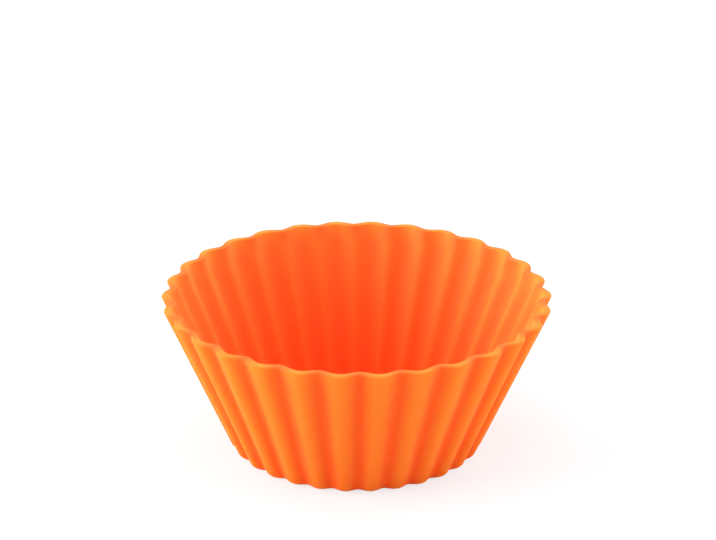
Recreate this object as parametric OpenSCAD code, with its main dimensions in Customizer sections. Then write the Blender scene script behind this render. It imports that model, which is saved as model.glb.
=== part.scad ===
// A round baking cup, moulded in one piece of soft silicone.
// Its wall leans outwards and is fluted all the way round, with a flat floor and an open top.
// Millimetres, +Z up, with the origin at the middle of the underside.

/* [Cup] */
// Width of the rim over the crests of the flutes, before the lip is rounded
rim_d = 70.2; // [56:0.2:90]
// Width of the base over the crests of the flutes, before its edge is rounded
base_d = 45.4; // [36:0.2:54]
// Height from the table to the lip
cup_h = 28.2; // [20:0.2:40]

/* [Wall] */
// Thickness of the wall, square to its slope
wall_t = 1.4; // [0.8:0.1:2.4]
// Thickness of the floor
floor_t = 1.5; // [0.8:0.1:3]

/* [Flutes] */
// Number of flutes round the wall
flutes = 30; // [18:1:36]
// Depth of a flute at the rim, from crest to groove
rim_flute_depth = 1.16; // [0.2:0.02:2]
// Depth of a flute at the base, from crest to groove
base_flute_depth = 0.82; // [0.2:0.02:1.6]
// How much narrower the grooves are than the crests, from 0 for alike
groove_pinch = 0.09; // [0:0.01:0.2]

/* [Edges] */
// Radius from the wall into the underside
base_round = 1.6; // [0.2:0.1:3]
// Radius inside, from the floor into the wall
floor_round = 2; // [0.2:0.1:4]
// Radius of the lip's two edges
lip_round = 0.3; // [0.1:0.05:0.6]

/* [Hidden] */

// Points round one flute, and facets in each rounded edge
flute_steps = 10;
lip_steps = 2;
base_steps = 3;
floor_steps = 4;
around = flutes * flute_steps;

// Radii midway between crest and groove, with the edges left sharp
rim_r = rim_d / 2 - (1 - groove_pinch) * rim_flute_depth / 2;
base_r = base_d / 2 - (1 - groove_pinch) * base_flute_depth / 2;

// How far the wall leans out for each millimetre that it rises, and its thickness measured level
lean = (rim_r - base_r) / cup_h;
wall_level_t = wall_t * sqrt(1 + lean * lean);

// Radius of the outer wall at height z
function outer_r(z) = base_r + lean * z;

// Half of the flutes' depth at height z
function swing(z) = lerp(base_flute_depth, rim_flute_depth, z / cup_h) / 2;

function lerp(from, to, share) = from + (to - from) * share;

function unit(v) = v / norm(v);

// Arc of radius r that rounds the corner at q, on the way from p to s
function rounded(p, q, s, r, steps) =
    let (
        back = unit(p - q),
        on = unit(s - q),
        half = acos(back * on) / 2,
        centre = q + unit(back + on) * r / sin(half),
        start = q + back * r / tan(half) - centre,
        end = q + on * r / tan(half) - centre,
        sweep = 180 - 2 * half
    )
    [for (i = [0:steps])
        let (a = sweep * i / steps)
        centre + (start * sin(sweep - a) + end * sin(a)) / sin(sweep)];

// Corners of the section, as [radius, height], before they are rounded
underside_middle = [0, 0];
base_edge = [base_r, 0];
lip_outer = [rim_r, cup_h];
lip_inner = [rim_r - wall_level_t, cup_h];
floor_edge = [outer_r(floor_t) - wall_level_t, floor_t];
floor_middle = [0, floor_t];

// The section from the underside up the outside, over the lip and down to the floor
section = concat(
    rounded(underside_middle, base_edge, lip_outer, base_round, base_steps),
    rounded(base_edge, lip_outer, lip_inner, lip_round, lip_steps),
    rounded(lip_outer, lip_inner, floor_edge, lip_round, lip_steps),
    rounded(lip_inner, floor_edge, floor_middle, floor_round, floor_steps)
);

// Place across a flute: nearly 1 on a crest, and a little under -1 in a groove
function wave(turn) = cos(flutes * turn) - groove_pinch * cos(2 * flutes * turn);

// One point of the section, swung round by an angle and moved in or out by the flutes
function fluted(point, turn) =
    let (r = point.x * (1 + swing(point.y) * wave(turn) / outer_r(point.y)))
    [r * cos(turn), r * sin(turn), point.y];

// The shell: the section's points as rings, joined by triangles and closed by two flat discs
module fluted_shell() {
    rings = len(section);
    points = [for (p = section, i = [0:around - 1]) fluted(p, 360 * i / around)];
    strips = [for (k = [0:rings - 2], i = [0:around - 1])
        let (
            next = (i + 1) % around,
            a = k * around + i,
            b = k * around + next,
            c = a + around,
            d = b + around
        )
        each [[a, c, b], [b, c, d]]];
    underside = [for (i = [0:around - 1]) i];
    floor_disc = [for (i = [around - 1:-1:0]) (rings - 1) * around + i];
    polyhedron(points, concat(strips, [underside, floor_disc]), convexity = 6);
}

module cup() {
    color([0.98, 0.49, 0.17]) fluted_shell();
}

cup();
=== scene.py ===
"""Looks of a silicone baking cup: a finely fluted shell of orange silicone, a white floor and soft light."""

import math

import bpy
from mathutils import Matrix, Vector


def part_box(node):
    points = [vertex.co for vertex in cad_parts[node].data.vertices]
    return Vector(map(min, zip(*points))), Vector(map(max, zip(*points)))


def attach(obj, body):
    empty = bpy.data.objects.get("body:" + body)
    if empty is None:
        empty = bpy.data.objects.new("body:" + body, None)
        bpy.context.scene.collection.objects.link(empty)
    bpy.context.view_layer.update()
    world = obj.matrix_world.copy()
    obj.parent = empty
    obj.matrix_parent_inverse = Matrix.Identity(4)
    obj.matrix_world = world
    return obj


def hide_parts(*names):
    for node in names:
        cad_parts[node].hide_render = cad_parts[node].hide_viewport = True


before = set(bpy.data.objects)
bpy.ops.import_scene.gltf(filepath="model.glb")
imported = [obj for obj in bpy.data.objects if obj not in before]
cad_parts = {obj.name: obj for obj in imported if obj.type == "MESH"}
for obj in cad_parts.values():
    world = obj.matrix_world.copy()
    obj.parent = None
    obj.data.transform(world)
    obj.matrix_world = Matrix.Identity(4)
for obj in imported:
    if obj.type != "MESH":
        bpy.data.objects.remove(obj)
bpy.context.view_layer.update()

# Sizes of the cup in metres. The rim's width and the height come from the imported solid, and the rest repeat
# the numbers of its source
CUP_LOW, CUP_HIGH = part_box("cup")
RIM_HALF_WIDTH = (CUP_HIGH.x - CUP_LOW.x) / 2
CUP_HEIGHT = CUP_HIGH.z
BASE_WIDTH = 0.0454
WALL = 0.0014
FLOOR = 0.0015
FLUTES = 30
RIM_FLUTE_DEPTH = 0.00116
BASE_FLUTE_DEPTH = 0.00082
GROOVE_PINCH = 0.09
BASE_ROUND = 0.0016
FLOOR_ROUND = 0.002
LIP_ROUND = 0.0003

# How finely the shell is drawn: points round one flute, and steps in each stretch of the section
FLUTE_STEPS = 24
WALL_STEPS = 18
LIP_TOP_STEPS = 3
FLAT_STEPS = 7
EDGE_STEPS = 10
LIP_STEPS = 5

# Tries at the rim's radius before its lip is rounded, each closer than the one before
RIM_TRIES = 8

# How strongly the painted shading follows the flutes inside, next to 1 outside, and from how deep below the lip
# on. Inside it is weak and runs the other way round: painted shade in the hollows behind the crests and painted
# light on the ridges between them
INSIDE_PAINTED_BANDS = -0.25
INSIDE_PAINTED_BANDS_DEPTH = 0.003

# How far in from the outside the painted shading no longer follows the flutes, and the width over which that
# fades
FOLLOWS_REACH = 3.5 * WALL
FOLLOWS_FADE = 2 * WALL

# How much painted light makes the wall lighter at the lip, on the scale of the flutes' painted shading, and how
# deep below it that fades
OUTSIDE_PAINTED_LIGHT = 0.34
OUTSIDE_PAINTED_LIGHT_DEPTH = 0.0017
INSIDE_PAINTED_LIGHT = 0.8
INSIDE_PAINTED_LIGHT_DEPTH = 0.0045

# Painted shade: how much deeper the colour is at the cup's foot and on its floor than at its lip
FOOT_PAINTED_SHADE = 0.4
FLOOR_PAINTED_SHADE = 0.72

# The silicone: its orange at the two ends of the painted shading's range, from painted shade to painted light,
# its sheen, its grain and how light soaks into it
DEEPEST_PAINTED_SHADE = -1
BRIGHTEST_PAINTED_LIGHT = 1.5
ORANGE_IN_PAINTED_SHADE = (0.945, 0.131, 0.0137, 1)
ORANGE_IN_PAINTED_LIGHT = (0.95, 0.271, 0.0247, 1)
ROUGHNESS_FROM = 0.62
ROUGHNESS_TO = 0.72
MOTTLE_SCALE = 60
MOTTLE_DETAIL = 3
GRAIN_SCALE = 2600
GRAIN_DETAIL = 2
GRAIN_STRENGTH = 0.12
GRAIN_DEPTH = 0.0001
SILICONE_IOR = 1.41
SILICONE_SPECULAR = 0.24
SOAK_WEIGHT = 1
SOAK_RADIUS = (1.0, 0.3, 0.1)
SOAK_DEPTH = 0.0014

# The floor: its paint for light that falls on it, its paint as it is seen, the glow that whitens it, and
# its size and place
PAINT_FOR_LIGHT = (0.86, 0.86, 0.86, 1)
PAINT_AS_SEEN = (0.275, 0.3, 0.31, 1)
FLOOR_GLOW = 0.72
FLOOR_HALF_WIDTH = 3.0
FLOOR_BELOW_CUP = 0.00005

# The lamps as name, place, width in metres and watts
LAMPS = (
    ("left_box", (-0.8, -0.12, 0.35), 0.7, 7.4),
    ("right_box", (0.8, -0.12, 0.35), 0.7, 2.8),
    ("top_box", (0, 0, 0.9), 0.6, 1.6),
    ("back_left_box", (-0.6, 0.6, 0.4), 0.6, 2.4),
    ("back_right_box", (0.6, 0.6, 0.4), 0.6, 2.4),
)

# The world: its colour, how strongly it lights the cup, and how bright it is as seen
WORLD_WHITE = (1, 1, 1, 1)
WORLD_FILL = 0.51
WORLD_AS_SEEN = 1

# The photograph's camera, as fitted to the outlines of the cup: angles in degrees, lengths in metres
CAMERA_ELEVATION = 23.15
CAMERA_TURN = -1.07
CAMERA_ROLL = 0.306
CAMERA_DISTANCE = 0.4993
CAMERA_AIM_X = 0.00019
CAMERA_AIM_Z = 0.03293
CAMERA_NEAREST = 0.01
CAMERA_FARTHEST = 50
CAMERA_LENS_MM = 140.74
SENSOR_MM = 36

# The sockets of a mix node that mixes colours
MIX_SHARE = 0
MIX_FROM = 6
MIX_TO = 7
MIX_RESULT = 2


def rounded(before, corner, after, radius, steps):
    """Arc that rounds a corner of the section, as (radius, height) points."""
    back = (before - corner).normalized()
    on = (after - corner).normalized()
    half = math.acos(back.dot(on)) / 2
    centre = corner + (back + on).normalized() * radius / math.sin(half)
    start = corner + back * radius / math.tan(half) - centre
    end = corner + on * radius / math.tan(half) - centre
    sweep = math.pi - 2 * half
    points = []
    for i in range(steps + 1):
        a = sweep * i / steps
        points.append(centre + (start * math.sin(sweep - a) + end * math.sin(a)) / math.sin(sweep))
    return points


def straight(start, end, steps):
    """Points between two places of the section, without its ends."""
    return [start.lerp(end, i / steps) for i in range(1, steps)]


def sharp_rim_radius(base_radius):
    """Radius at which wall and lip would meet, from the rounded rim's width and the wall's lean."""
    rim = RIM_HALF_WIDTH
    for _ in range(RIM_TRIES):
        lean = math.atan((rim - base_radius) / CUP_HEIGHT)
        set_back = LIP_ROUND / math.tan((math.pi / 2 - lean) / 2) - LIP_ROUND
        rim = RIM_HALF_WIDTH + set_back - (1 - GROOVE_PINCH) * RIM_FLUTE_DEPTH / 2
    return rim


# Radii midway between crest and groove, how far the wall leans out for its height, and its thickness
# measured level
BASE_RADIUS = BASE_WIDTH / 2 - (1 - GROOVE_PINCH) * BASE_FLUTE_DEPTH / 2
RIM_RADIUS = sharp_rim_radius(BASE_RADIUS)
LEAN = (RIM_RADIUS - BASE_RADIUS) / CUP_HEIGHT
WALL_LEVEL = WALL * math.sqrt(1 + LEAN * LEAN)


def outer_radius(z):
    """Radius of the wall's outside at height z, midway between crest and groove."""
    return BASE_RADIUS + LEAN * z


def swing(z):
    """Half of the flutes' depth at height z."""
    return (BASE_FLUTE_DEPTH + (RIM_FLUTE_DEPTH - BASE_FLUTE_DEPTH) * z / CUP_HEIGHT) / 2


def wave(turn):
    """Place across a flute: nearly 1 on a crest, and a little under -1 in a groove."""
    return math.cos(FLUTES * turn) - GROOVE_PINCH * math.cos(2 * FLUTES * turn)


def section():
    """The cup's section from near the middle of the underside, over the lip, to near the middle of the
    floor."""
    under = Vector((0, 0))
    base_edge = Vector((BASE_RADIUS, 0))
    lip_outer = Vector((RIM_RADIUS, CUP_HEIGHT))
    lip_inner = Vector((RIM_RADIUS - WALL_LEVEL, CUP_HEIGHT))
    floor_edge = Vector((outer_radius(FLOOR) - WALL_LEVEL, FLOOR))
    floor_middle = Vector((0, FLOOR))
    arcs = [
        rounded(under, base_edge, lip_outer, BASE_ROUND, EDGE_STEPS),
        rounded(base_edge, lip_outer, lip_inner, LIP_ROUND, LIP_STEPS),
        rounded(lip_outer, lip_inner, floor_edge, LIP_ROUND, LIP_STEPS),
        rounded(lip_inner, floor_edge, floor_middle, FLOOR_ROUND, EDGE_STEPS),
    ]
    points = straight(under, arcs[0][0], FLAT_STEPS) + arcs[0]
    for arc, steps in zip(arcs[1:], (WALL_STEPS, LIP_TOP_STEPS, WALL_STEPS)):
        points += straight(points[-1], arc[0], steps) + arc
    return points + straight(points[-1], floor_middle, FLAT_STEPS)


def between_0_and_1(value):
    """The value, held between 0 and 1."""
    return min(1, max(0, value))


def painted_light_and_shade_at(depth, painted_light, painted_light_depth, painted_shade):
    """Painted light and shade of a wall at a depth below the lip: the painted light is strongest at the lip,
    and painted shade deepens towards the wall's foot.
    """
    return painted_light * math.exp(-depth / painted_light_depth) - painted_shade * depth / CUP_HEIGHT


def painted_shading_at(point):
    """How far the painted shading follows the flutes at a point of the section, and the painted light at the
    lip and painted shade at the foot that the point gets besides. The outside and the lip follow the flutes in
    full, the inside a little and the other way round, and the middles of floor and underside not at all."""
    depth = CUP_HEIGHT - point.y
    wall_outside = outer_radius(point.y)
    follows = between_0_and_1((point.x - wall_outside + FOLLOWS_REACH) / FOLLOWS_FADE)
    inwards = 0 if point.y < FLOOR / 2 else between_0_and_1((wall_outside - point.x) / WALL_LEVEL)
    inside_follows = 1 + (INSIDE_PAINTED_BANDS - 1) * min(1, depth / INSIDE_PAINTED_BANDS_DEPTH)
    # Painted light near the lip and painted shade towards the foot and the floor, for the outside and the
    # inside
    outside = painted_light_and_shade_at(depth, OUTSIDE_PAINTED_LIGHT, OUTSIDE_PAINTED_LIGHT_DEPTH, FOOT_PAINTED_SHADE)
    inside = painted_light_and_shade_at(depth, INSIDE_PAINTED_LIGHT, INSIDE_PAINTED_LIGHT_DEPTH, FLOOR_PAINTED_SHADE)
    return follows * (1 + (inside_follows - 1) * inwards), outside + (inside - outside) * inwards


def cup_mesh():
    """The shell as rings of points joined by quads, with a fan at the middle of the underside and of the floor.
    A point attribute holds light and shade painted into the colour. On the outside it is about 1, painted
    light, on the back of a flute and -1, painted shade, in the hollow between two, with a little more painted
    light at the lip and painted shade at the foot."""
    rings = section()
    around = FLUTES * FLUTE_STEPS
    verts, faces, painted_shading = [], [], []
    for point in rings:
        share = swing(point.y) / outer_radius(point.y)
        follows, painted_light_and_shade = painted_shading_at(point)
        for i in range(around):
            turn = 2 * math.pi * i / around
            r = point.x * (1 + share * wave(turn))
            verts.append((r * math.cos(turn), r * math.sin(turn), point.y))
            # Light and shade painted into the colour: lighter on the backs of the flutes and at the lip, darker
            # in the hollows between them and towards the foot
            painted_shading.append(follows * wave(turn) + painted_light_and_shade)
    for k in range(len(rings) - 1):
        for i in range(around):
            a = k * around + i
            b = k * around + (i + 1) % around
            faces.append((a, b, b + around, a + around))
    under_middle, floor_middle = len(verts), len(verts) + 1
    verts += [(0, 0, 0), (0, 0, FLOOR)]
    painted_shading += [painted_shading_at(Vector((0, 0)))[1], painted_shading_at(Vector((0, FLOOR)))[1]]
    last = (len(rings) - 1) * around
    for i in range(around):
        j = (i + 1) % around
        faces.append((under_middle, j, i))
        faces.append((floor_middle, last + i, last + j))
    mesh = bpy.data.meshes.new("baking_cup")
    mesh.from_pydata(verts, [], faces)
    mesh.polygons.foreach_set("use_smooth", [True] * len(mesh.polygons))
    mesh.attributes.new("painted_shading", "FLOAT", "POINT").data.foreach_set("value", painted_shading)
    mesh.update()
    return mesh


def material(name):
    """An empty node material, its nodes and a function that links two sockets."""
    made = bpy.data.materials.new(name)
    made.use_nodes = True
    made.node_tree.nodes.clear()
    return made, made.node_tree.nodes, made.node_tree.links.new


def finish_material(made, nodes, link, surface):
    """The material with a socket as its surface."""
    out = nodes.new("ShaderNodeOutputMaterial")
    link(surface, out.inputs["Surface"])
    return made


def noise(nodes, link, scale, detail):
    """A socket with noise over the object's own coordinates."""
    place = nodes.new("ShaderNodeTexCoord")
    texture = nodes.new("ShaderNodeTexNoise")
    texture.inputs["Scale"].default_value = scale
    texture.inputs["Detail"].default_value = detail
    link(place.outputs["Object"], texture.inputs["Vector"])
    return texture.outputs["Fac"]


def colour_mix(nodes, link, share, start, end):
    """A socket whose colour goes from start to end as the socket share goes from 0 to 1."""
    mix = nodes.new("ShaderNodeMix")
    mix.data_type = "RGBA"
    mix.inputs[MIX_FROM].default_value = start
    mix.inputs[MIX_TO].default_value = end
    link(share, mix.inputs[MIX_SHARE])
    return mix.outputs[MIX_RESULT]


def silicone():
    """Satin orange silicone: light soaks into it, its tool finish shows as a very fine grain, and light and
    shade are painted into its colour from a point attribute, lighter on the backs of the flutes and at the lip,
    darker in the hollows and towards the foot.
    """
    made, nodes, link = material("orange_silicone")
    painted_shading = nodes.new("ShaderNodeAttribute")
    painted_shading.attribute_name = "painted_shading"
    painted_light = nodes.new("ShaderNodeMapRange")
    painted_light.inputs["From Min"].default_value = DEEPEST_PAINTED_SHADE
    painted_light.inputs["From Max"].default_value = BRIGHTEST_PAINTED_LIGHT
    link(painted_shading.outputs["Fac"], painted_light.inputs["Value"])
    sheen = nodes.new("ShaderNodeMapRange")
    sheen.inputs["To Min"].default_value = ROUGHNESS_FROM
    sheen.inputs["To Max"].default_value = ROUGHNESS_TO
    link(noise(nodes, link, MOTTLE_SCALE, MOTTLE_DETAIL), sheen.inputs["Value"])
    bump = nodes.new("ShaderNodeBump")
    bump.inputs["Strength"].default_value = GRAIN_STRENGTH
    bump.inputs["Distance"].default_value = GRAIN_DEPTH
    link(noise(nodes, link, GRAIN_SCALE, GRAIN_DETAIL), bump.inputs["Height"])
    shader = nodes.new("ShaderNodeBsdfPrincipled")
    shader.inputs["IOR"].default_value = SILICONE_IOR
    shader.inputs["Specular IOR Level"].default_value = SILICONE_SPECULAR
    shader.inputs["Subsurface Weight"].default_value = SOAK_WEIGHT
    shader.inputs["Subsurface Radius"].default_value = SOAK_RADIUS
    shader.inputs["Subsurface Scale"].default_value = SOAK_DEPTH
    # The orange goes from its colour under painted shade to its colour under painted light
    painted_shading_colour = colour_mix(nodes, link, painted_light.outputs["Result"], ORANGE_IN_PAINTED_SHADE, ORANGE_IN_PAINTED_LIGHT)
    link(painted_shading_colour, shader.inputs["Base Color"])
    link(sheen.outputs["Result"], shader.inputs["Roughness"])
    link(bump.outputs["Normal"], shader.inputs["Normal"])
    return finish_material(made, nodes, link, shader.outputs["BSDF"])


def seen_directly(nodes, link):
    """A socket that is 1 for what the camera, a reflection or glass sees, and 0 for light that falls on
    things."""
    path = nodes.new("ShaderNodeLightPath")
    seen = path.outputs["Is Camera Ray"]
    for kind in ("Is Glossy Ray", "Is Transmission Ray"):
        either = nodes.new("ShaderNodeMath")
        either.operation = "MAXIMUM"
        link(seen, either.inputs[0])
        link(path.outputs[kind], either.inputs[1])
        seen = either.outputs["Value"]
    return seen


def white_floor():
    """Plain white floor that keeps the cup's shadow, but shows little of the colour that the cup throws on
    it."""
    made, nodes, link = material("white_floor")
    seen = seen_directly(nodes, link)
    shader = nodes.new("ShaderNodeBsdfDiffuse")
    link(colour_mix(nodes, link, seen, PAINT_FOR_LIGHT, PAINT_AS_SEEN), shader.inputs["Color"])
    lift = nodes.new("ShaderNodeMath")
    lift.operation = "MULTIPLY"
    lift.inputs[1].default_value = FLOOR_GLOW
    link(seen, lift.inputs[0])
    glow = nodes.new("ShaderNodeEmission")
    link(lift.outputs["Value"], glow.inputs["Strength"])
    both = nodes.new("ShaderNodeAddShader")
    link(shader.outputs["BSDF"], both.inputs[0])
    link(glow.outputs["Emission"], both.inputs[1])
    return finish_material(made, nodes, link, both.outputs["Shader"])


def in_scene(name, data):
    """An object of the scene with the given data."""
    made = bpy.data.objects.new(name, data)
    bpy.context.scene.collection.objects.link(made)
    return made


def make_cup():
    """The cup, in its material."""
    cup = in_scene("baking_cup", cup_mesh())
    cup.data.materials.append(silicone())
    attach(cup, "root")
    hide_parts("cup")


def make_floor():
    """A wide square just below the cup."""
    half = FLOOR_HALF_WIDTH
    mesh = bpy.data.meshes.new("floor")
    corners = [(-half, -half, 0), (half, -half, 0), (half, half, 0), (-half, half, 0)]
    mesh.from_pydata(corners, [], [(0, 1, 2, 3)])
    floor = in_scene("floor", mesh)
    floor.location.z = -FLOOR_BELOW_CUP
    floor.data.materials.append(white_floor())


def make_lamps():
    """Round soft boxes to the left and right, above and behind, all aimed at the middle of the cup."""
    aim = Vector((0, 0, CUP_HEIGHT / 2))
    for name, place, width, watts in LAMPS:
        data = bpy.data.lights.new(name, "AREA")
        data.shape = "DISK"
        data.size = width
        data.energy = watts
        lamp = in_scene(name, data)
        lamp.visible_camera = False
        lamp.location = place
        lamp.rotation_mode = "QUATERNION"
        lamp.rotation_quaternion = (Vector(place) - aim).to_track_quat("Z", "Y")


def background(nodes, strength):
    """A socket with even white light of a strength."""
    made = nodes.new("ShaderNodeBackground")
    made.inputs["Color"].default_value = WORLD_WHITE
    made.inputs["Strength"].default_value = strength
    return made.outputs["Background"]


def make_world():
    """An even white world that fills the shadows, and that is seen as plain white."""
    world = bpy.data.worlds.new("studio")
    bpy.context.scene.world = world
    world.use_nodes = True
    nodes = world.node_tree.nodes
    link = world.node_tree.links.new
    nodes.clear()
    mix = nodes.new("ShaderNodeMixShader")
    out = nodes.new("ShaderNodeOutputWorld")
    link(seen_directly(nodes, link), mix.inputs[0])
    link(background(nodes, WORLD_FILL), mix.inputs[1])
    link(background(nodes, WORLD_AS_SEEN), mix.inputs[2])
    link(mix.outputs["Shader"], out.inputs["Surface"])


def make_camera():
    """Camera on the photograph's line of sight, turned a little about the cup's axis and about its own."""
    data = bpy.data.cameras.new("camera")
    data.sensor_width = SENSOR_MM
    data.lens = CAMERA_LENS_MM
    data.clip_start = CAMERA_NEAREST
    data.clip_end = CAMERA_FARTHEST
    camera = in_scene("camera", data)
    lift = math.radians(CAMERA_ELEVATION)
    roll = math.radians(CAMERA_ROLL)
    ahead = Vector((0, math.cos(lift), -math.sin(lift)))
    up = Vector((0, math.sin(lift), math.cos(lift)))
    right = Vector((1, 0, 0))
    rolled_right = right * math.cos(roll) + up * math.sin(roll)
    rolled_up = up * math.cos(roll) - right * math.sin(roll)
    place = Vector((CAMERA_AIM_X, 0, CAMERA_AIM_Z)) - ahead * CAMERA_DISTANCE
    axes = Matrix((rolled_right, rolled_up, -ahead)).transposed().to_4x4()
    about_axis = Matrix.Rotation(math.radians(CAMERA_TURN), 4, "Z")
    camera.matrix_world = about_axis @ Matrix.Translation(place) @ axes
    bpy.context.scene.camera = camera


make_camera()
make_cup()
make_floor()
make_lamps()
make_world()
bpy.context.scene.view_settings.view_transform = "Standard"
